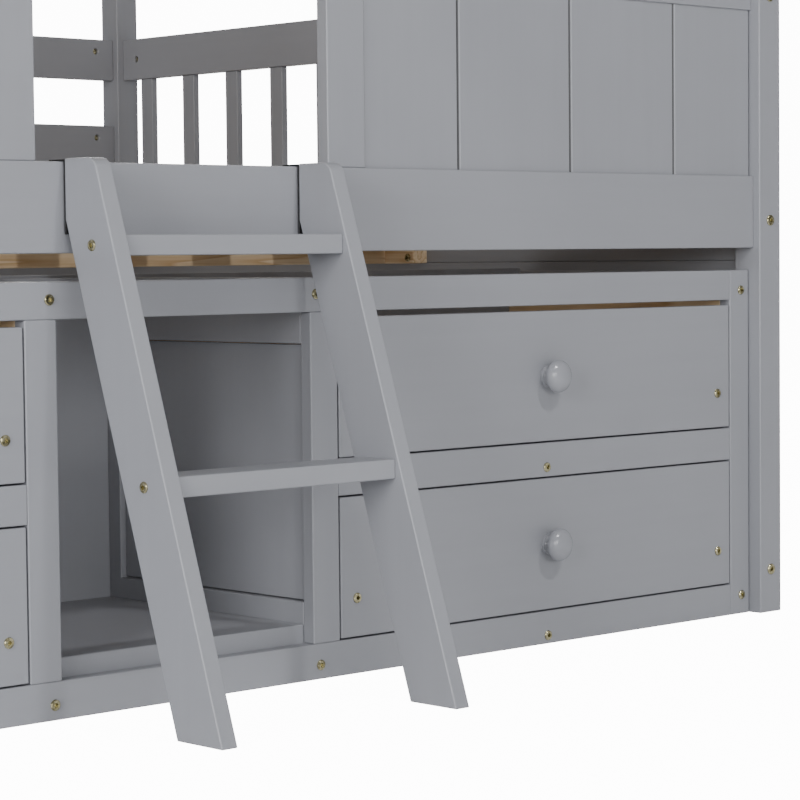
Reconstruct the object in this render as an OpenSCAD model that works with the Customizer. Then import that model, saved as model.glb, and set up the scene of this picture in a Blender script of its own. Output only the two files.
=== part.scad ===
// Bunk bed with a low lower berth over drawers, an open cubby and a short slanted ladder.
// Lengths are in millimetres, +Z is up, -Y is the front, and the origin is on the floor
// under the middle of the whole object.

/* [Bed] */
// Overall length of the frame along X
bed_l = 2032; // [1900:1:2100]
// Overall depth of the frame along Y
bed_w = 1470; // [1400:1:1500]
// Height of the four posts
post_h = 1850; // [1840:1:1950]
// Side of the square posts
post_s = 44; // [40:1:48]
// Thickness of the long bed rails and end rails
rail_t = 22; // [20:1:24]
// Height of the long bed rails
rail_h = 97; // [90:1:105]
// Height of the lower long rail's underside above the floor
low_rail_z = 498; // [495:1:505]
// Height of the upper long rail's underside above the floor
up_rail_z = 1450; // [1440:1:1470]
// Distance from the posts' front faces back to the rail's face
rail_set = 11; // [8:1:14]

/* [Guards] */
// Height from the top of a bed rail to the top of its guards
guard_h = 277; // [250:1:290]
// Height of the front guard's top rail
guard_rail_h = 54; // [45:1:60]
// Half the width of the doorway in the front guard
door_half = 205; // [200:1:215]
// Width of the doorway stiles
stile_w = 58; // [50:1:62]
// Height of the end fence rails and of the back guard rails
fence_h = 70; // [60:1:75]
// Number of balusters in a whole end fence
balusters = 12; // [8:1:14]

/* [Ladder] */
// Half the clear width between the stringers
ladder_half = 153; // [140:1:158]
// Thickness of a stringer
stringer_t = 21; // [18:1:24]
// Reach of the ladder's feet in front of the posts
ladder_reach = 243; // [220:1:260]
// Reach of the ladder's top in front of the posts
ladder_top_reach = 46; // [42:1:50]
// Depth of a stringer, measured level
stringer_d = 73; // [68:1:78]
// Height of the lower tread's top
tread_low_z = 268; // [255:1:275]
// Height of the upper tread's top
tread_high_z = 517; // [510:1:525]

/* [Chest] */
// Height of the chest of drawers
chest_h = 468; // [460:1:480]
// Distance from the posts' front faces back to the chest's face
chest_set = 19; // [16:1:22]
// Depth of the chest
chest_d = 427; // [420:1:435]
// Half the clear width of the cubby
cubby_half = 179; // [176:1:182]
// Width of the chest's front stiles
chest_stile = 41; // [39:1:43]
// Diameter of the drawer knobs
knob_d = 41; // [34:1:44]

/* [Hidden] */

paint = "#95969a";
pine = "#d3b07c";
steel = "#303033";
zinc = "#b9a66a";

// Where the main parts lie, measured from the middle of the bed and the posts' front faces
post_x = bed_l / 2 - post_s;            // inner face of the posts
back_y = bed_w - post_s;                // front face of the back posts
low_top = low_rail_z + rail_h;          // top of the lower long rails
up_top = up_rail_z + rail_h;            // top of the upper long rails
low_guard = low_top + guard_h;          // top of the lower guards
up_guard = up_top + guard_h;            // top of the upper guards
end_mid = bed_l / 2 - post_s / 2;       // middle plane of the end rails
end_rail_h = 108;
end_drop = 17;                          // the end rails hang this far below the long rails
low_end_z = low_rail_z - end_drop;
up_end_z = up_rail_z - end_drop;
floor_board = [20, 98];                 // heights of the stretchers by the floor
deep_board = [381, low_end_z];          // heights of the stretchers below the lower rails
fence_t = 20;
guard_set = 14;                         // doorway stiles and guard rails behind the posts' faces
guard_t = 18;
board_set = 17;                         // guard boards behind the posts' faces
board_t = 12;
groove = 3;                             // chamfer that makes each V groove
boards = 4;                             // boards in each lower guard panel
board_pitch = 198;

// Slats, their ledgers and the centre beams
ledger_s = 28;
ledger_in = 30;                          // ledgers and slats start this far from the posts
ledger_drop = 57;                       // ledger top below the rail's top
slat_t = 12;
slat_w = 70;
slat_clear = 2;                         // slat end to the rail
slats = 13;
beam_t = 18;
beam_h = 58;
beam_end = 959;                         // half the length of a centre beam
block_w = 64;
block_t = 30;
leg_s = 44;

// End fences
fence_gap = 45;                         // post to the first baluster
baluster_w = 31;
baluster_t = 12;

// Ladder built into the left end, between the front post and a stile
entry_w = 400;
end_stile_w = 44;
end_stile_t = 33;
stile_clear = 40;                       // the stile to its nearest baluster, at least
rung_t = 28;
rung_h = 45;
rung_low_z = 295;                       // top of the rung nearest the floor
rung_steps = 4;                         // equal steps between the two end rails

// Front ladder
slope = (ladder_reach - ladder_top_reach) / low_top;
ladder_back = rail_set - 4.5;           // upper back edge of the stringers
ladder_top = low_top + 3;
tread_t = 22;
tread_d = 56;
hook_t = 2.5;
hook_w = 20;
hook_drop = 40;
hook_back_z = low_rail_z + 20;
tread_bolt_l = 60;
tread_in = 4;                           // treads behind the stringers' front edges
top_r = 16;

// Chest
face_t = 18;
chest_x = post_x - 1.5;                 // outer edges of the chest
rail_low_h = 42;
mid_z = 212;
mid_h = 43;
rail_top_z = chest_h - 40;
wall_t = 16;
panel_t = 6;
panel_set = 2;                          // panel in from the wall's outer face
panel_gap = 1.2;                        // open joint around the panel
panel_z = [90, 391];                    // heights of the wall's opening
panel_back = 24;                        // width of the wall's back stile
floor_top = 64;
floor_low = 34;
back_t = 9;
chest_back_y = chest_set + chest_d - back_t;
cubby_back_y = chest_back_y - 26;
chest_back_lip = 4;                     // the back stands this far above the front
bay_in = cubby_half + chest_stile;      // drawer bay's inner edge
bay_out = chest_x - chest_stile + 2;    // drawer bay's outer edge
side_t = 15;

// Drawers
side_gap = 2;
low_front_z = 44;
low_front_h = 166;
up_front_z = 257;
up_front_h = 164;
box_in = 14;                            // box sides in from the front's edges
box_t = 12;
box_d = 372;
box_h = 118;
box_lift = 14;                          // box underside above the front's lower edge
ply_t = 5;
ply_up = 8;                             // bottom board above the box's lower edge
screw_in = 25;
screw_up = 46;
guide_h = 40;
kicker_z = 398;
kicker_h = 38;
runner_t = 1.5;
runner_lip = 11;
runner_drop = 12;
runner_gap = 0.6;

// Fasteners
bolt_r = 3;
bore_r = 3.2;
head_r = 7.3;                            // heads on the posts
screw_head_r = 6.1;                     // heads on the chest, drawers and ladder
head_h = 2;
head_bevel = 0.9;
hex_r = 2.9;
hex_deep = 3;
bolt_l = 90;                            // through a post and into a rail's end
nut_r = 5;
nut_in = 37;                            // barrel nut's distance from a rail's end
nut_l = 9;
nut_in_y = 4;                           // how far a nut reaches from its bolt to the outer face
nut_skin = 3;                           // wood left over a nut's hole on the outer face
bore_over = 3;                          // bores run this far past their bolts
rail_bolts = [28, 69];                  // bolts above a long rail's lower edge
fence_drop = 35;                        // bolt below the top of an end fence
front_drop = 27;                        // bolt below the top of a front guard
back_drop = 21;                         // bolt below the top of a back guard rail
y_levels = [59, 535, low_guard - fence_drop, up_end_z + end_rail_h / 2,
            up_guard - fence_drop];
x_levels = [for (z = [low_rail_z, up_rail_z], up = rail_bolts) z + up];
guard_drop = 149;                       // from one back guard rail down to the next
back_levels = [low_guard - back_drop, low_guard - back_drop - guard_drop,
               up_guard - back_drop, up_guard - back_drop - guard_drop,
               (deep_board[0] + deep_board[1]) / 2];

// Shift that puts the origin under the middle of the whole object
shift_y = -(bed_w + head_h - ladder_reach) / 2;

module placed(c) translate([0, shift_y, 0]) color(c) children();
module box(a, b) translate(a) cube(b - a);
module left() mirror([1, 0, 0]) children();
module back() translate([0, bed_w, 0]) mirror([0, 1, 0]) children();
module both() { children(); left() children(); }
module copy_back() { children(); back() children(); }
module along_x(p, l, r) translate(p) rotate([0, 90, 0]) cylinder(r = r, h = l, $fn = 32);
module along_y(p, l, r) translate(p) rotate([-90, 0, 0]) cylinder(r = r, h = l, $fn = 32);

// A socket-head connector bolt lying along +Y, its head's underside at y = 0
module bolt(l, r) rotate([-90, 0, 0]) difference() {
    union() {
        translate([0, 0, -head_h])
            cylinder(r1 = r - head_bevel, r2 = r, h = head_bevel, $fn = 40);
        translate([0, 0, head_bevel - head_h])
            cylinder(r = r, h = head_h - head_bevel, $fn = 40);
        cylinder(r = bolt_r, h = l, $fn = 32);
    }
    translate([0, 0, -head_h - 1]) cylinder(r = hex_r, h = hex_deep + 1, $fn = 6);
}
module bolt_y(p, l, r) translate(p) bolt(l, r);
// The same bolt pointing along -X, its head's underside at p
module bolt_in(p, l, r) translate(p) rotate([0, 0, 90]) bolt(l, r);

// ---- posts ----
front_x_levels = concat(x_levels, [low_guard - front_drop, up_guard - front_drop]);
back_x_levels = concat(x_levels, back_levels);
// The ladder's stile carries the left fences, so the front left post has no bolts for them
short_y_levels = [y_levels[0], y_levels[1], y_levels[3]];
module post(levels_x, levels_y) difference() {
    box([post_x, 0, 0], [bed_l / 2, post_s, post_h]);
    for (z = levels_x) along_x([post_x - 1, post_s / 2, z], post_s + 2, bore_r);
    for (z = levels_y) along_y([end_mid, -1, z], post_s + 2, bore_r);
}
module post_front_right() placed(paint) post(front_x_levels, y_levels);
module post_front_left() placed(paint) left() post(front_x_levels, short_y_levels);
module post_back_right() placed(paint) back() post(back_x_levels, y_levels);
module post_back_left() placed(paint) left() back() post(back_x_levels, y_levels);

// ---- long rails and end rails ----
// Bolt bores in both ends of a rail along X, and blind holes for the nuts from its inner face
module end_bores(y, z, face) both() {
    along_x([bed_l / 2 - bolt_l - bore_over, y, z], bolt_l, bore_r);
    along_y([post_x - nut_in, face + nut_skin, z], rail_t, nut_r + 0.2);
}
module long_rail(z0) difference() {
    box([-post_x, rail_set, z0], [post_x, rail_set + rail_t, z0 + rail_h]);
    for (up = rail_bolts) end_bores(post_s / 2, z0 + up, rail_set);
}
module lower_rail_front() placed(paint) long_rail(low_rail_z);
module upper_rail_front() placed(paint) long_rail(up_rail_z);
module lower_rail_back() placed(paint) back() long_rail(low_rail_z);
module upper_rail_back() placed(paint) back() long_rail(up_rail_z);

// A board across one end, bolted through the posts at height zb
module end_board(t, z0, h, zb) difference() {
    box([end_mid - t / 2, post_s, z0], [end_mid + t / 2, back_y, z0 + h]);
    copy_back() {
        along_y([end_mid, -1, zb], bolt_l + bore_over, bore_r);
        along_x([end_mid + t / 2 - nut_skin - rail_t, post_s + nut_in, zb], rail_t,
                nut_r + 0.2);
    }
}
module end_rails() placed(paint) both() {
    end_board(rail_t, low_end_z, end_rail_h, y_levels[1]);
    end_board(rail_t, up_end_z, end_rail_h, y_levels[3]);
}
// Two stretchers at each end, and one along the back
module stretchers() placed(paint) {
    both() {
        end_board(rail_t, floor_board[0], floor_board[1] - floor_board[0], y_levels[0]);
        box([end_mid - rail_t / 2, post_s, deep_board[0]],
            [end_mid + rail_t / 2, back_y, deep_board[1]]);
    }
    back() difference() {
        box([-post_x, rail_set, deep_board[0]],
            [post_x, rail_set + rail_t, deep_board[1]]);
        end_bores(post_s / 2, back_levels[4], rail_set);
    }
}

// ---- slats and what carries them ----
module ledger(z) box([-post_x + ledger_in, rail_set + rail_t, z - ledger_s],
                     [post_x - ledger_in, rail_set + rail_t + ledger_s, z]);
module slat_ledgers() placed(pine) copy_back() {
    ledger(low_top - ledger_drop);
    ledger(up_top - ledger_drop);
}
module beam(z) box([-beam_end, (bed_w - beam_t) / 2, z - beam_h],
                   [beam_end, (bed_w + beam_t) / 2, z]);
module centre_beams() placed(pine) {
    beam(low_top - ledger_drop);
    beam(up_top - ledger_drop);
}
block_face = end_mid - rail_t / 2 - block_t;
block_y = (bed_w - beam_t) / 2 - block_w;
block_screw_in = [12, 9];               // screws from a block's side and from its ends
block_screws = [for (z = [low_top - ledger_drop, up_top - ledger_drop],
                     dz = [beam_h - block_screw_in[1], block_screw_in[1]])
                [block_y + block_screw_in[0], z - dz]];
module beam_blocks() placed(pine) both() copy_back() difference() {
    for (z = [low_top - ledger_drop, up_top - ledger_drop])
        box([block_face, block_y, z - beam_h],
            [end_mid - rail_t / 2, (bed_w - beam_t) / 2, z]);
    for (p = block_screws) along_x([block_face - 1, p[0], p[1]], block_t, bore_r);
}
module beam_leg() placed(pine)
    box([-leg_s / 2, (bed_w - leg_s) / 2, 0],
        [leg_s / 2, (bed_w + leg_s) / 2, low_top - ledger_drop - beam_h]);
slat_pitch = (2 * (post_x - ledger_in) - slat_w) / (slats - 1);
slat_y = rail_set + rail_t + slat_clear;
module slat_row(z) for (i = [0 : slats - 1])
    box([-post_x + ledger_in + i * slat_pitch, slat_y, z],
        [-post_x + ledger_in + i * slat_pitch + slat_w, bed_w - slat_y, z + slat_t]);
module lower_slats() placed(pine) slat_row(low_top - ledger_drop);
module upper_slats() placed(pine) slat_row(up_top - ledger_drop);

// ---- front guards ----
module guard_stiles() placed(paint) both()
    box([door_half, guard_set, low_top],
        [door_half + stile_w, guard_set + guard_t, low_guard]);
module guard_top_rails() placed(paint) {
    both() difference() {
        box([door_half + stile_w, guard_set, low_guard - guard_rail_h],
            [post_x, guard_set + guard_t, low_guard]);
        end_bores(post_s / 2, low_guard - front_drop, guard_set);
    }
    difference() {
        box([-post_x, guard_set, up_guard - guard_rail_h],
            [post_x, guard_set + guard_t, up_guard]);
        end_bores(post_s / 2, up_guard - front_drop, guard_set);
    }
}
// One upright board from x0 to x1 with chamfered front edges
module guard_board(x0, x1, z0, z1) translate([0, board_set, z0])
    linear_extrude(z1 - z0) polygon([[x0, groove], [x0 + groove, 0], [x1 - groove, 0],
                                     [x1, groove], [x1, board_t], [x0, board_t]]);
panel_in = door_half + stile_w;
first_w = (post_x - panel_in - (boards - 2) * board_pitch) / 2;
function board_edge(i) = i == 0 ? panel_in
    : i == boards ? post_x : panel_in + first_w + (i - 1) * board_pitch;
module guard_panel() for (i = [0 : boards - 1])
    guard_board(board_edge(i), board_edge(i + 1), low_top, low_guard - guard_rail_h);
module guard_boards_right() placed(paint) guard_panel();
module guard_boards_left() placed(paint) mirror([1, 0, 0]) guard_panel();
upper_boards = 10;
module upper_guard_boards() placed(paint) for (i = [0 : upper_boards - 1])
    guard_board(-post_x + i * 2 * post_x / upper_boards,
                -post_x + (i + 1) * 2 * post_x / upper_boards,
                up_top, up_guard - guard_rail_h);

// ---- end fences and back guards ----
baluster_pitch = (back_y - post_s - 2 * fence_gap - baluster_w) / (balusters - 1);
function baluster_y(i) = post_s + fence_gap + i * baluster_pitch;
module baluster_row(z0, z1, from) for (i = [from : balusters - 1])
    box([end_mid - baluster_t / 2, baluster_y(i), z0],
        [end_mid + baluster_t / 2, baluster_y(i) + baluster_w, z1]);
stile_y = post_s + entry_w;             // near side of the end ladder's stile
stile_back_y = stile_y + end_stile_w;
first_left = ceil((stile_back_y - post_s + stile_clear - fence_gap) / baluster_pitch);
module fence_rail(z, zb) end_board(fence_t, z - fence_h, fence_h, zb);
module short_fence_rail(z, zb) left() difference() {
    fence_rail(z, zb);
    box([post_x, 0, z - fence_h - 1], [bed_l / 2, stile_back_y, z + 1]);
}
module fence_rails() placed(paint) {
    fence_rail(low_guard, y_levels[2]);
    fence_rail(up_guard, y_levels[4]);
    short_fence_rail(low_guard, y_levels[2]);
    short_fence_rail(up_guard, y_levels[4]);
}
module end_balusters(z0, z1) {
    baluster_row(z0, z1, 0);
    left() baluster_row(z0, z1, first_left);
}
module lower_balusters() placed(paint)
    end_balusters(low_end_z + end_rail_h, low_guard - fence_h);
module upper_balusters() placed(paint)
    end_balusters(up_end_z + end_rail_h, up_guard - fence_h);
back_guard_y = (post_s - fence_t) / 2;
module back_guard(z) back() difference() {
    box([-post_x, back_guard_y, z - fence_h], [post_x, back_guard_y + fence_t, z]);
    end_bores(post_s / 2, z - back_drop, back_guard_y);
}
module back_guards() placed(paint)
    for (z = [low_guard, up_guard]) {
        back_guard(z);
        back_guard(z - guard_drop);
    }

// ---- slanted front ladder ----
// Front edge of a stringer at height z, as a level distance before the posts' faces
function front_at(z) = -ladder_reach + slope * z;
// Middle of the arc that rounds a stringer's top front corner, and the arc's first angle
lean = atan(slope);
arc_mid = [front_at(ladder_top) + top_r * tan(45 - lean / 2), ladder_top - top_r];
arc_from = 180 - lean;
arc_steps = 8;
module stringer_profile() polygon(concat(
    [[front_at(0), 0]],
    [for (i = [0 : arc_steps])
        let (a = arc_from - i * (arc_from - 90) / arc_steps)
        arc_mid + top_r * [cos(a), sin(a)]],
    [[ladder_back, ladder_top],
     [ladder_back, (ladder_back + ladder_reach - stringer_d) / slope],
     [front_at(0) + stringer_d, 0]]));
function tread_mid(z) = front_at(z) + tread_in + tread_d / 2;
module stringer() difference() {
    translate([ladder_half, 0, 0]) rotate([90, 0, 90]) linear_extrude(stringer_t)
        stringer_profile();
    for (z = [tread_low_z, tread_high_z])
        along_x([ladder_half - 1, tread_mid(z), z - tread_t / 2], stringer_t + 2, bore_r);
}
module ladder_stringer_right() placed(paint) stringer();
module ladder_stringer_left() placed(paint) left() stringer();
module ladder_treads() placed(paint) for (z = [tread_low_z, tread_high_z]) difference() {
    box([-ladder_half, tread_mid(z) - tread_d / 2, z - tread_t],
        [ladder_half, tread_mid(z) + tread_d / 2, z]);
    both() along_x([ladder_half + stringer_t - tread_bolt_l - bore_over, tread_mid(z),
                    z - tread_t / 2], tread_bolt_l, bore_r);
}
// Steel strap down the stringer's back and over the rail, with its lip behind the rail
module ladder_hooks() placed(steel) both()
    translate([ladder_half + (stringer_t - hook_w) / 2, 0, 0]) {
        box([0, ladder_back, hook_back_z], [hook_w, ladder_back + hook_t, low_top]);
        box([0, ladder_back, low_top],
            [hook_w, rail_set + rail_t + hook_t, low_top + hook_t]);
        box([0, rail_set + rail_t, low_top - hook_drop],
            [hook_w, rail_set + rail_t + hook_t, low_top]);
    }

// ---- ladder in the left end, up to the upper berth ----
module end_ladder_stile() placed(paint) left() difference() {
    box([bed_l / 2 - end_stile_t, stile_y, 0], [bed_l / 2, stile_back_y, post_h]);
    for (span = [floor_board, [deep_board[0], low_end_z + end_rail_h],
                 [up_end_z, up_end_z + end_rail_h]])
        box([bed_l / 2 - end_stile_t - 1, stile_y - 1, span[0]],
            [end_mid + rail_t / 2, stile_back_y + 1, span[1]]);
}
rail_tops = [low_end_z + end_rail_h, up_end_z + end_rail_h];
rung_pitch = (rail_tops[1] - rail_tops[0]) / rung_steps;
module rung(z) box([end_mid - rung_t / 2, post_s, z - rung_h],
                   [end_mid + rung_t / 2, stile_y, z]);
module end_ladder_rungs() placed(paint) left() {
    rung(rung_low_z);
    for (i = [1 : rung_steps - 1]) rung(rail_tops[0] + i * rung_pitch);
}

// ---- chest ----
function chest_y(d) = chest_set + d;
module face_board(x0, x1, z0, z1) box([x0, chest_set, z0], [x1, chest_y(face_t), z1]);
module face_bores(points) for (p = points)
    along_y([p[0], chest_set - 1, p[1]], face_t - 1, bore_r);
top_bolts = [[188, 449], [954, 441]];
bottom_bolts = [[189, 17], [572, 11], [954, 26]];
mid_bolts = [[572, 224]];
module chest_top_rail() placed(paint) difference() {
    face_board(-bay_out, bay_out, rail_top_z, chest_h);
    both() face_bores([top_bolts[0]]);
}
module chest_bottom_rail() placed(paint) difference() {
    face_board(-bay_out, bay_out, 0, rail_low_h);
    both() face_bores([bottom_bolts[0], bottom_bolts[1]]);
}
module chest_mid_rails() placed(paint) both() difference() {
    face_board(bay_in, bay_out, mid_z, mid_z + mid_h);
    face_bores(mid_bolts);
}
module chest_stiles() placed(paint) both() {
    face_board(cubby_half, bay_in, rail_low_h, rail_top_z);
    difference() {
        face_board(bay_out, chest_x, 0, chest_h);
        face_bores([top_bolts[1], bottom_bolts[2]]);
    }
}
module chest_sides() placed(paint) both()
    box([chest_x - side_t, chest_y(face_t), 0], [chest_x, chest_y(chest_d), chest_h]);
// Framed wall between the cubby and a drawer bay, open for its thin panel
module cubby_walls() placed(paint) both() difference() {
    box([cubby_half, chest_y(face_t), 0], [cubby_half + wall_t, cubby_back_y, chest_h]);
    box([cubby_half - 1, chest_y(face_t) - 1, panel_z[0]],
        [cubby_half + wall_t + 1, cubby_back_y - panel_back, panel_z[1]]);
}
module cubby_panels() placed(paint) {
    both() box([cubby_half + wall_t - panel_t - panel_set, chest_y(face_t), panel_z[0] + panel_gap],
        [cubby_half + wall_t - panel_set, cubby_back_y - panel_back - panel_gap,
         panel_z[1] - panel_gap]);
    box([-cubby_half - wall_t, cubby_back_y, 0],
        [cubby_half + wall_t, cubby_back_y + panel_t, chest_h]);
}
module cubby_floor() placed(paint)
    box([-cubby_half, chest_y(face_t), floor_low], [cubby_half, cubby_back_y, floor_top]);
module chest_back() placed(paint)
    box([-chest_x + side_t, chest_back_y, 0],
        [chest_x - side_t, chest_back_y + back_t, chest_h + chest_back_lip]);
// Pine battens that carry the runners, and kickers that keep the upper drawers level
module guide(z0, z1) {
    box([cubby_half + wall_t, chest_y(face_t), z0], [bay_in, cubby_back_y, z1]);
    box([bay_out, chest_y(face_t), z0], [chest_x - side_t, chest_back_y, z1]);
}
module drawer_guides() placed(pine) both() {
    for (z = [low_front_z, up_front_z])
        guide(z + box_lift - runner_drop, z + box_lift - runner_drop + guide_h);
    guide(kicker_z, kicker_z + kicker_h);
}

// ---- drawers ----
bay_mid = (bay_in + bay_out) / 2;
front_in = bay_in + side_gap;
front_out = bay_out - side_gap;
module drawer_front(z0, h) difference() {
    box([front_in, chest_set, z0], [front_out, chest_y(face_t), z0 + h]);
    screw_spots(z0) along_y([0, chest_set - 1, 0], face_t, bore_r);
}
module screw_spots(z0) for (x = [front_in + screw_in, front_out - screw_in])
    translate([x, 0, z0 + screw_up]) children();
module drawer_box(z0) {
    za = z0 + box_lift;
    ya = chest_y(face_t);
    xa = front_in + box_in;
    xb = front_out - box_in;
    box([xa, ya, za], [xa + box_t, ya + box_d, za + box_h]);
    box([xb - box_t, ya, za], [xb, ya + box_d, za + box_h]);
    box([xa + box_t, ya + box_d - box_t, za], [xb - box_t, ya + box_d, za + box_h]);
    box([xa + box_t, ya, za + ply_up],
        [xb - box_t, ya + box_d - box_t, za + ply_up + ply_t]);
}
// Mushroom knob: flared foot, narrow neck and a domed head, turned about its own axis
knob_l = 30;
knob_foot_r = 14;
knob_neck_r = 9.5;
module knob_profile() {
    r = knob_d / 2;
    polygon(concat([[0, 0], [knob_foot_r, 0], [knob_foot_r, 2]],
        [for (a = [0 : 15 : 90]) [knob_neck_r + 3 * (1 - sin(a)), 3 + 7 * (1 - cos(a))]],
        [for (a = [0 : 15 : 90]) [knob_neck_r + (r - knob_neck_r) * sin(a), 17 - 3 * cos(a)]],
        [for (a = [0 : 10 : 80]) [r * cos(a), 18 + (knob_l - 18) * sin(a)]],
        [[0, knob_l]]));
}
module drawer_knob(z0, h) translate([bay_mid, chest_set, z0 + h / 2])
    rotate([90, 0, 0]) rotate_extrude($fn = 64) knob_profile();
module drawer_screws(z0) screw_spots(z0) bolt_y([0, chest_set, 0], face_t - 4, screw_head_r);

module front_upper_right() placed(paint) drawer_front(up_front_z, up_front_h);
module front_upper_left() placed(paint) left() drawer_front(up_front_z, up_front_h);
module front_lower_right() placed(paint) drawer_front(low_front_z, low_front_h);
module front_lower_left() placed(paint) left() drawer_front(low_front_z, low_front_h);
module box_upper_right() placed(pine) drawer_box(up_front_z);
module box_upper_left() placed(pine) left() drawer_box(up_front_z);
module box_lower_right() placed(pine) drawer_box(low_front_z);
module box_lower_left() placed(pine) left() drawer_box(low_front_z);
module knob_upper_right() placed(paint) drawer_knob(up_front_z, up_front_h);
module knob_upper_left() placed(paint) left() drawer_knob(up_front_z, up_front_h);
module knob_lower_right() placed(paint) drawer_knob(low_front_z, low_front_h);
module knob_lower_left() placed(paint) left() drawer_knob(low_front_z, low_front_h);
module screws_upper_right() placed(zinc) drawer_screws(up_front_z);
module screws_upper_left() placed(zinc) left() drawer_screws(up_front_z);
module screws_lower_right() placed(zinc) drawer_screws(low_front_z);
module screws_lower_left() placed(zinc) left() drawer_screws(low_front_z);

// Steel angle under each box side, its flange screwed to the wall beside it
module runner(wall, inner, z) {
    flange = wall < inner ? wall + runner_t : wall - runner_t;
    y0 = chest_y(face_t) + 2;
    y1 = chest_y(face_t) + box_d;
    box([min(wall, inner), y0, z - runner_t], [max(wall, inner), y1, z]);
    box([min(wall, flange), y0, z - runner_drop],
        [max(wall, flange), y1, z - runner_t]);
}
module drawer_runners() placed(zinc) both() for (z = [low_front_z, up_front_z]) {
    runner(bay_in, front_in + box_in + runner_lip, z + box_lift - runner_gap);
    runner(bay_out, front_out - box_in - runner_lip, z + box_lift - runner_gap);
}

// ---- fasteners ----
// Bolts into one side's rails: along Y at the given levels, and along X at the others
module post_bolts(levels_x, levels_y) {
    for (z = levels_y) bolt_y([end_mid, 0, z], bolt_l, head_r);
    for (z = levels_x) bolt_in([bed_l / 2, post_s / 2, z], bolt_l, head_r);
}
module frame_bolts() placed(zinc) {
    post_bolts(front_x_levels, y_levels);
    left() post_bolts(front_x_levels, short_y_levels);
    both() {
        back() post_bolts(back_x_levels, y_levels);
        for (p = concat(top_bolts, bottom_bolts, mid_bolts))
            bolt_y([p[0], chest_set, p[1]], face_t - 3, screw_head_r);
        for (z = [tread_low_z, tread_high_z])
            bolt_in([ladder_half + stringer_t, tread_mid(z), z - tread_t / 2],
                    tread_bolt_l, screw_head_r);
        left() copy_back() for (p = block_screws)
            bolt_in([-block_face, p[0], p[1]], block_t - 2, screw_head_r);
    }
}
// Barrel nuts across the rails, each drilled for the bolt that it takes
module nut_y(z) difference() {
    along_y([post_x - nut_in, post_s / 2 - nut_in_y, z], nut_l, nut_r);
    along_x([post_x - nut_in - 2 * nut_r, post_s / 2, z], 4 * nut_r, bolt_r + 0.1);
}
module nut_x(z) difference() {
    along_x([end_mid + nut_in_y - nut_l, post_s + nut_in, z], nut_l, nut_r);
    along_y([end_mid, post_s + nut_in - 2 * nut_r, z], 4 * nut_r, bolt_r + 0.1);
}
module post_nuts(levels_x, levels_y) {
    for (z = levels_y) nut_x(z);
    for (z = levels_x) nut_y(z);
}
module barrel_nuts() placed(zinc) {
    post_nuts(front_x_levels, y_levels);
    left() post_nuts(front_x_levels, short_y_levels);
    both() back() post_nuts(back_x_levels, y_levels);
}

post_front_left();
post_front_right();
post_back_left();
post_back_right();
lower_rail_front();
lower_rail_back();
upper_rail_front();
upper_rail_back();
end_rails();
stretchers();
slat_ledgers();
centre_beams();
beam_blocks();
beam_leg();
lower_slats();
upper_slats();
guard_stiles();
guard_top_rails();
guard_boards_left();
guard_boards_right();
fence_rails();
lower_balusters();
upper_balusters();
back_guards();
upper_guard_boards();
end_ladder_stile();
ladder_stringer_left();
ladder_stringer_right();
ladder_treads();
ladder_hooks();
end_ladder_rungs();
chest_top_rail();
chest_bottom_rail();
chest_mid_rails();
chest_stiles();
chest_sides();
cubby_walls();
cubby_panels();
cubby_floor();
chest_back();
drawer_guides();
drawer_runners();
front_upper_left();
box_upper_left();
knob_upper_left();
screws_upper_left();
front_upper_right();
box_upper_right();
knob_upper_right();
screws_upper_right();
front_lower_left();
box_lower_left();
knob_lower_left();
screws_lower_left();
front_lower_right();
box_lower_right();
knob_lower_right();
screws_lower_right();
frame_bolts();
barrel_nuts();
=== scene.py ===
# Looks for the bunk bed: painted and bare timber, fasteners, studio light and camera.
import math
import bpy
from mathutils import Matrix, Vector


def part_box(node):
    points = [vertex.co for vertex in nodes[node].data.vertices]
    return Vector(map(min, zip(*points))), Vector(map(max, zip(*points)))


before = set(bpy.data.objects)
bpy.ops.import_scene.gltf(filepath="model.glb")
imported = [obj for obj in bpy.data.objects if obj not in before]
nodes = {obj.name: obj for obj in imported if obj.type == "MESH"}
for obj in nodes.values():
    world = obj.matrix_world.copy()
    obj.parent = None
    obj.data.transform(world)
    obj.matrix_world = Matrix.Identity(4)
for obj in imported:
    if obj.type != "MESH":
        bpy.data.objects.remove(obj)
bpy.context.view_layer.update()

MM = 0.001

# ---------------------------------------------------------------- numbers
# Colours are linear, lengths are metres, light powers are watts.

WHITE = (1.0, 1.0, 1.0)
PAINT = (0.296, 0.303, 0.330)
PAINT_DARKER, PAINT_LIGHTER = 0.955, 1.045  # how far the paint's tone drifts
PAINT_ROUGHNESS = 0.36
PAINT_SPECULAR = 0.5
KNOB_TONE, KNOB_ROUGHNESS = 1.03, 0.20

PINE_LIGHT = (0.80, 0.64, 0.44)
PINE_MID = (0.74, 0.56, 0.35)
PINE_DARK = (0.60, 0.41, 0.22)
PINE_FLECK = (0.80, 0.74, 0.66)
PINE_RINGS = 9.0  # annual bands that one swing of the noise gives
PINE_ROUGHNESS = 0.62

ZINC_YELLOW = ((0.20, 0.18, 0.09), (0.78, 0.72, 0.46))
ZINC_BRIGHT = ((0.46, 0.47, 0.48), (0.66, 0.67, 0.69))
STEEL_BLACK = ((0.012, 0.012, 0.013), (0.030, 0.030, 0.032))

# Noise scales along and across a board. The coordinates are metres.
PAINT_GRAIN = (2.2, 60.0)
PINE_GRAIN = (0.9, 14.0)
PINE_FIBRE = (5.0, 240.0)
ORANGE_PEEL = 420.0

# The grooves are 3 mm deep, and their darkening is painted shade. The dark starts and is full
# at the first two depths, and the board's sides and back, past the other two, are plain paint
# again.
GROOVE_PAINTED_SHADE = 0.20
GROOVE_START, GROOVE_FULL = 0.7 * MM, 1.4 * MM
GROOVE_END, BOARD_BACK = 3.6 * MM, 4.2 * MM

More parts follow.
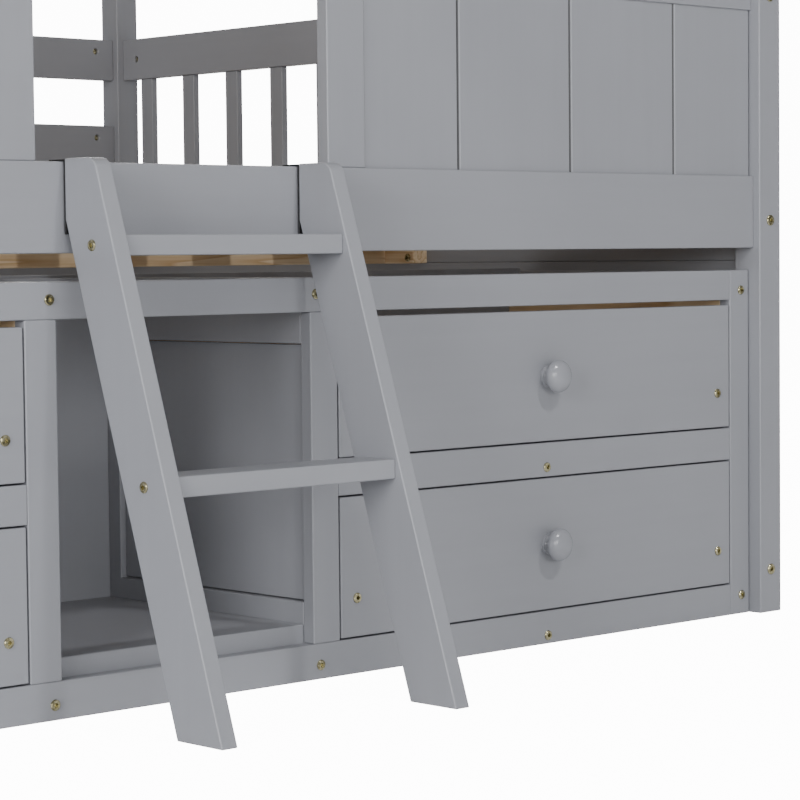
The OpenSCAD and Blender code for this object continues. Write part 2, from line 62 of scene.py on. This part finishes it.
ARRIS_WIDTH = 1.7 * MM  # the rounding of a sawn edge
ARRIS_SEGMENTS = 3
ARRIS_ANGLE = math.radians(32)
FLAT_ANGLE = math.radians(0.3)
JOIN_DISTANCE = 0.02 * MM

FLOOR_SIZE = 60.0
FLOOR_TINTS = (0.90, 0.92)
FLOOR_ROUGHNESS = 0.9
FLOOR_SPECULAR = 0.1
BACKDROP = 13.0
WORLD_LIGHT = 0.25

# Each light: place, the point it faces, its two sides, its power.
LIGHTS = {
    "key": ((0.4, -3.9, 4.0), (0.1, -0.6, 0.4), (0.3, 0.3), 72.0),
    "front": ((-1.2, -4.9, 1.1), (0.0, -0.3, 0.4), (3.0, 1.4), 87.0),
    "left": ((-5.0, -2.3, 1.5), (0.0, -0.3, 0.5), (2.2, 2.0), 190.0),
    "rear": ((3.8, 5.4, 2.6), (0.0, 0.4, 0.8), (3.0, 2.0), 150.0),
}

# The camera is fitted to corners and edges of the object in the photograph.
CAMERA_PLACE = Vector((-1.8194, -2.8774, 0.4918))
CAMERA_YAW = math.radians(43.148)
CAMERA_PITCH = math.radians(3.141)
CAMERA_ROLL = math.radians(0.5776)
CAMERA_LENS = 118.2
CAMERA_SENSOR = 36.0

# ---------------------------------------------------------------- which node gets what

BOARDS = ("guard_boards_left", "guard_boards_right", "upper_guard_boards")
PAINT_X = ("lower_rail_front", "lower_rail_back", "upper_rail_front", "upper_rail_back",
           "guard_top_rails", "back_guards", "chest_top_rail", "chest_bottom_rail",
           "chest_mid_rails", "ladder_treads", "cubby_floor", "chest_back")
PAINT_Y = ("end_rails", "stretchers", "fence_rails", "end_ladder_rungs")
PINE_X = ("slat_ledgers", "centre_beams")
PINE_Y = ("lower_slats", "upper_slats", "beam_blocks", "drawer_guides")
PINE_Z = ("beam_leg",)
BOLTS = ("frame_bolts", "barrel_nuts")

# Thin parts take a finer rounding than ARRIS_WIDTH.
FINE_ARRIS = {"guard_boards_left": 0.5 * MM, "guard_boards_right": 0.5 * MM,
              "upper_guard_boards": 0.5 * MM, "cubby_panels": 0.4 * MM,
              "chest_back": 0.4 * MM, "drawer_runners": 0.3 * MM, "ladder_hooks": 0.5 * MM}

# ---------------------------------------------------------------- materials


def new_material(name):
    material = bpy.data.materials.new(name)
    material.use_nodes = True
    tree = material.node_tree
    return material, tree, tree.nodes["Principled BSDF"]


def add(tree, kind, inputs=None, **settings):
    """One shader node with its settings and its unlinked inputs."""
    node = tree.nodes.new(kind)
    for key, value in settings.items():
        setattr(node, key, value)
    for key, value in (inputs or {}).items():
        node.inputs[key].default_value = value
    return node


def link(tree, out_socket, in_socket):
    tree.links.new(out_socket, in_socket)


def object_coords(tree):
    return add(tree, "ShaderNodeTexCoord").outputs["Object"]


def noise(tree, vector, scale, detail, roughness=0.5):
    node = add(tree, "ShaderNodeTexNoise",
               {"Scale": scale, "Detail": detail, "Roughness": roughness})
    link(tree, vector, node.inputs["Vector"])
    return node.outputs["Fac"]


def along_board(tree, coords, axis, stretch):
    """Coordinates squeezed along the board, so that noise turns into grain."""
    along, across = stretch
    scale = [across, across, across]
    scale["XYZ".index(axis)] = along
    mapping = add(tree, "ShaderNodeMapping", {"Scale": scale})
    link(tree, coords, mapping.inputs["Vector"])
    return mapping.outputs["Vector"]


def ramp(tree, source, stops):
    node = add(tree, "ShaderNodeValToRGB")
    elements = node.color_ramp.elements
    while len(elements) < len(stops):
        elements.new(0.5)
    for element, (position, colour) in zip(elements, stops):
        element.position = position
        element.color = (*colour, 1.0)
    link(tree, source, node.inputs["Fac"])
    return node.outputs["Color"]


def mix_values(tree, factor, first, second):
    node = add(tree, "ShaderNodeMix", {"Factor": factor}, data_type="FLOAT")
    link(tree, first, node.inputs[2])
    link(tree, second, node.inputs[3])
    return node.outputs[0]


def map_range(tree, source, low, high, from_low=0.0, from_high=1.0):
    node = add(tree, "ShaderNodeMapRange", {"From Min": from_low, "From Max": from_high,
                                            "To Min": low, "To Max": high})
    link(tree, source, node.inputs["Value"])
    return node.outputs["Result"]


def bump(tree, shader, height, strength, distance):
    node = add(tree, "ShaderNodeBump", {"Strength": strength, "Distance": distance})
    link(tree, height, node.inputs["Height"])
    link(tree, node.outputs["Normal"], shader.inputs["Normal"])


def shade(colour, factor):
    return tuple(min(1.0, c * factor) for c in colour)


def groove_painted_shade(tree, coords, face):
    """1 on a board whose face is at Y = face, and dark inside its V grooves: painted shade in the
    grooves.
    """
    place = add(tree, "ShaderNodeSeparateXYZ")
    link(tree, coords, place.inputs["Vector"])
    depth = place.outputs["Y"]
    inside = map_range(tree, depth, 1.0, GROOVE_PAINTED_SHADE, face + GROOVE_START, face + GROOVE_FULL)
    behind = map_range(tree, depth, 0.0, 1.0, face + GROOVE_END, face + BOARD_BACK)
    tone = add(tree, "ShaderNodeMath", operation="MAXIMUM")
    link(tree, inside, tone.inputs[0])
    link(tree, behind, tone.inputs[1])
    return tone.outputs[0]


def darkened(tree, colour, tone):
    node = add(tree, "ShaderNodeVectorMath", operation="SCALE")
    link(tree, colour, node.inputs[0])
    link(tree, tone, node.inputs["Scale"])
    return node.outputs["Vector"]


def painted_wood(name, axis, colour, roughness=PAINT_ROUGHNESS, grooved_face=None):
    """Satin paint sprayed on pine: grain that barely shows through, and a fine orange peel. On
    grooved boards, painted shade darkens the grooves.
    """
    material, tree, shader = new_material(name)
    coords = object_coords(tree)
    board = along_board(tree, coords, axis, PAINT_GRAIN)
    grain = noise(tree, board, scale=1.0, detail=5.0, roughness=0.6)
    cloud = noise(tree, coords, scale=3.5, detail=3.0)
    stops = [(0.30, shade(colour, PAINT_DARKER)), (0.52, colour),
             (0.74, shade(colour, PAINT_LIGHTER))]
    paint = ramp(tree, mix_values(tree, 0.35, cloud, grain), stops)
    if grooved_face is not None:
        # Painted shade: the V grooves are darkened in the colour.
        paint = darkened(tree, paint, groove_painted_shade(tree, coords, grooved_face))
    link(tree, paint, shader.inputs["Base Color"])
    gloss = map_range(tree, cloud, roughness - 0.05, roughness + 0.07)
    link(tree, gloss, shader.inputs["Roughness"])
    peel = noise(tree, coords, scale=ORANGE_PEEL, detail=2.0)
    relief = mix_values(tree, 0.3, grain, peel)
    bump(tree, shader, relief, strength=0.14, distance=0.6 * MM)
    shader.inputs["Specular IOR Level"].default_value = PAINT_SPECULAR
    return material


def bare_pine(name, axis):
    """Sanded pine: soft annual bands along the board, and fine fibres with darker flecks."""
    material, tree, shader = new_material(name)
    coords = object_coords(tree)
    board = along_board(tree, coords, axis, PINE_GRAIN)
    warp = noise(tree, board, scale=1.6, detail=2.0)
    bands = add(tree, "ShaderNodeMath", {1: PINE_RINGS}, operation="MULTIPLY")
    link(tree, warp, bands.inputs[0])
    ring = add(tree, "ShaderNodeMath", operation="FRACT")
    link(tree, bands.outputs[0], ring.inputs[0])
    wood = ramp(tree, ring.outputs[0], [(0.0, PINE_LIGHT), (0.62, PINE_MID),
                                        (0.90, PINE_DARK), (1.0, PINE_LIGHT)])
    threads = along_board(tree, coords, axis, PINE_FIBRE)
    fibre = noise(tree, threads, scale=1.0, detail=4.0, roughness=0.65)
    fleck = ramp(tree, fibre, [(0.35, PINE_FLECK), (0.62, WHITE)])
    mixed = add(tree, "ShaderNodeMix", {"Factor": 0.8}, data_type="RGBA", blend_type="MULTIPLY")
    link(tree, wood, mixed.inputs[6])
    link(tree, fleck, mixed.inputs[7])
    link(tree, mixed.outputs[2], shader.inputs["Base Color"])
    bump(tree, shader, fibre, strength=0.25, distance=0.5 * MM)
    shader.inputs["Roughness"].default_value = PINE_ROUGHNESS
    return material


def plated_metal(name, tints, roughness, metallic=1.0, scale=260.0):
    """Plated steel with cloudy plating and fine handling marks."""
    material, tree, shader = new_material(name)
    dark, light = tints
    cloud = noise(tree, object_coords(tree), scale, detail=4.0, roughness=0.6)
    link(tree, ramp(tree, cloud, [(0.35, dark), (0.65, light)]), shader.inputs["Base Color"])
    gloss = map_range(tree, cloud, roughness - 0.08, roughness + 0.10)
    link(tree, gloss, shader.inputs["Roughness"])
    bump(tree, shader, cloud, strength=0.2, distance=0.2 * MM)
    shader.inputs["Metallic"].default_value = metallic
    return material


paint_x = painted_wood("paint_along_x", "X", PAINT)
paint_y = painted_wood("paint_along_y", "Y", PAINT)
paint_z = painted_wood("paint_along_z", "Z", PAINT)
# The guard boards get painted shade in their V grooves.
board_paint = {name: painted_wood("paint_" + name, "Z", PAINT, grooved_face=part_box(name)[0].y)
               for name in BOARDS}
knob_paint = painted_wood("knob_paint", "Y", shade(PAINT, KNOB_TONE), KNOB_ROUGHNESS)
pine_x = bare_pine("pine_along_x", "X")
pine_y = bare_pine("pine_along_y", "Y")
pine_z = bare_pine("pine_along_z", "Z")
yellow_zinc = plated_metal("yellow_zinc", ZINC_YELLOW, 0.22)
bright_zinc = plated_metal("bright_zinc", ZINC_BRIGHT, 0.34, scale=90.0)
black_steel = plated_metal("black_steel", STEEL_BLACK, 0.45, metallic=0.4)


def material_for(name):
    if name in board_paint:
        return board_paint[name]
    if name.startswith("knob_"):
        return knob_paint
    if name.startswith("front_") or name in PAINT_X:
        return paint_x
    if name in PAINT_Y:
        return paint_y
    if name in PINE_X or name.startswith("box_"):
        return pine_x
    if name in PINE_Y:
        return pine_y
    if name in PINE_Z:
        return pine_z
    if name == "ladder_hooks":
        return black_steel
    if name == "drawer_runners":
        return bright_zinc
    if name in BOLTS or name.startswith("screws_"):
        return yellow_zinc
    return paint_z


def set_material(obj, material):
    obj.data.materials.clear()
    obj.data.materials.append(material)


# ---------------------------------------------------------------- rounded edges


def joined_mesh():
    """A modifier's node group: joins the corners that the import split, and drops its normals."""
    tree = bpy.data.node_groups.new("joined_mesh", "GeometryNodeTree")
    for in_out in ("INPUT", "OUTPUT"):
        tree.interface.new_socket("Geometry", in_out=in_out, socket_type="NodeSocketGeometry")
    source = tree.nodes.new("NodeGroupInput")
    merge = add(tree, "GeometryNodeMergeByDistance", {"Distance": JOIN_DISTANCE})
    drop = add(tree, "GeometryNodeRemoveAttribute", {"Name": "custom_normal"})
    smooth = add(tree, "GeometryNodeSetShadeSmooth", {"Shade Smooth": True})
    sink = tree.nodes.new("NodeGroupOutput")
    link(tree, source.outputs[0], merge.inputs["Geometry"])
    link(tree, merge.outputs["Geometry"], drop.inputs["Geometry"])
    link(tree, drop.outputs["Geometry"], smooth.inputs["Geometry"])
    link(tree, smooth.outputs["Geometry"], sink.inputs[0])
    return tree


def soften(obj, joined, width):
    """Rounds the sawn arrises, after flat faces cut into triangles are made whole again."""
    obj.modifiers.new("joined", "NODES").node_group = joined
    whole = obj.modifiers.new("whole_faces", "DECIMATE")
    whole.decimate_type = "DISSOLVE"
    whole.angle_limit = FLAT_ANGLE
    bevel = obj.modifiers.new("arris", "BEVEL")
    bevel.width = width
    bevel.segments = ARRIS_SEGMENTS
    bevel.limit_method = "ANGLE"
    bevel.angle_limit = ARRIS_ANGLE
    bevel.harden_normals = True
    bevel.use_clamp_overlap = False
    bevel.loop_slide = False


def finish_nodes():
    """Every node gets its material. Turned and machined ones keep the edges that the CAD gives."""
    joined = joined_mesh()
    for name, obj in nodes.items():
        set_material(obj, material_for(name))
        if name not in BOLTS and not name.startswith(("screws_", "knob_")):
            soften(obj, joined, FINE_ARRIS.get(name, ARRIS_WIDTH))


# ---------------------------------------------------------------- stage, light and camera


def glow(tree):
    """White light that only the camera's own rays meet, as a lit studio backdrop."""
    path = add(tree, "ShaderNodeLightPath")
    level = add(tree, "ShaderNodeMath", {1: BACKDROP}, operation="MULTIPLY")
    link(tree, path.outputs["Is Camera Ray"], level.inputs[0])
    return level.outputs[0]


def stage_floor():
    bpy.ops.mesh.primitive_plane_add(size=FLOOR_SIZE, location=(0, 0, 0))
    floor = bpy.context.object
    floor.name = "studio_floor"
    material, tree, shader = new_material("studio_floor")
    dark, light = (shade(WHITE, level) for level in FLOOR_TINTS)
    cloud = noise(tree, object_coords(tree), scale=2.0, detail=2.0)
    tint = ramp(tree, cloud, [(0.3, dark), (0.7, light)])
    link(tree, tint, shader.inputs["Base Color"])
    shader.inputs["Roughness"].default_value = FLOOR_ROUGHNESS
    shader.inputs["Specular IOR Level"].default_value = FLOOR_SPECULAR
    shader.inputs["Emission Color"].default_value = (*WHITE, 1.0)
    link(tree, glow(tree), shader.inputs["Emission Strength"])
    set_material(floor, material)


def area_light(name, place, target, sides, power):
    data = bpy.data.lights.new(name, "AREA")
    data.shape = "RECTANGLE"
    data.size, data.size_y = sides
    data.energy = power
    lamp = bpy.data.objects.new(name, data)
    lamp.location = place
    lamp.rotation_euler = (Vector(target) - Vector(place)).to_track_quat("-Z", "Y").to_euler()
    bpy.context.scene.collection.objects.link(lamp)


def studio():
    world = bpy.data.worlds.new("studio")
    bpy.context.scene.world = world
    world.use_nodes = True
    tree = world.node_tree
    background = tree.nodes["Background"]
    background.inputs["Color"].default_value = (*WHITE, 1.0)
    level = add(tree, "ShaderNodeMath", {1: WORLD_LIGHT}, operation="ADD")
    link(tree, glow(tree), level.inputs[0])
    link(tree, level.outputs[0], background.inputs["Strength"])
    for name, settings in LIGHTS.items():
        area_light(name, *settings)


def stage_camera():
    """A level camera turned right by the yaw, tipped down by the pitch, then rolled."""
    sin_yaw, cos_yaw = math.sin(CAMERA_YAW), math.cos(CAMERA_YAW)
    sin_pitch, cos_pitch = math.sin(CAMERA_PITCH), math.cos(CAMERA_PITCH)
    ahead = Vector((sin_yaw * cos_pitch, cos_yaw * cos_pitch, -sin_pitch))
    right = Vector((cos_yaw, -sin_yaw, 0.0))
    down = ahead.cross(right)
    rolled_right = right * math.cos(CAMERA_ROLL) + down * math.sin(CAMERA_ROLL)
    rolled_up = right * math.sin(CAMERA_ROLL) - down * math.cos(CAMERA_ROLL)
    data = bpy.data.cameras.new("camera")
    data.lens = CAMERA_LENS
    data.sensor_width = CAMERA_SENSOR
    camera = bpy.data.objects.new("camera", data)
    turn = Matrix((rolled_right, rolled_up, -ahead)).transposed()
    camera.matrix_world = Matrix.Translation(CAMERA_PLACE) @ turn.to_4x4()
    bpy.context.scene.collection.objects.link(camera)
    bpy.context.scene.camera = camera


finish_nodes()
stage_floor()
studio()
stage_camera()
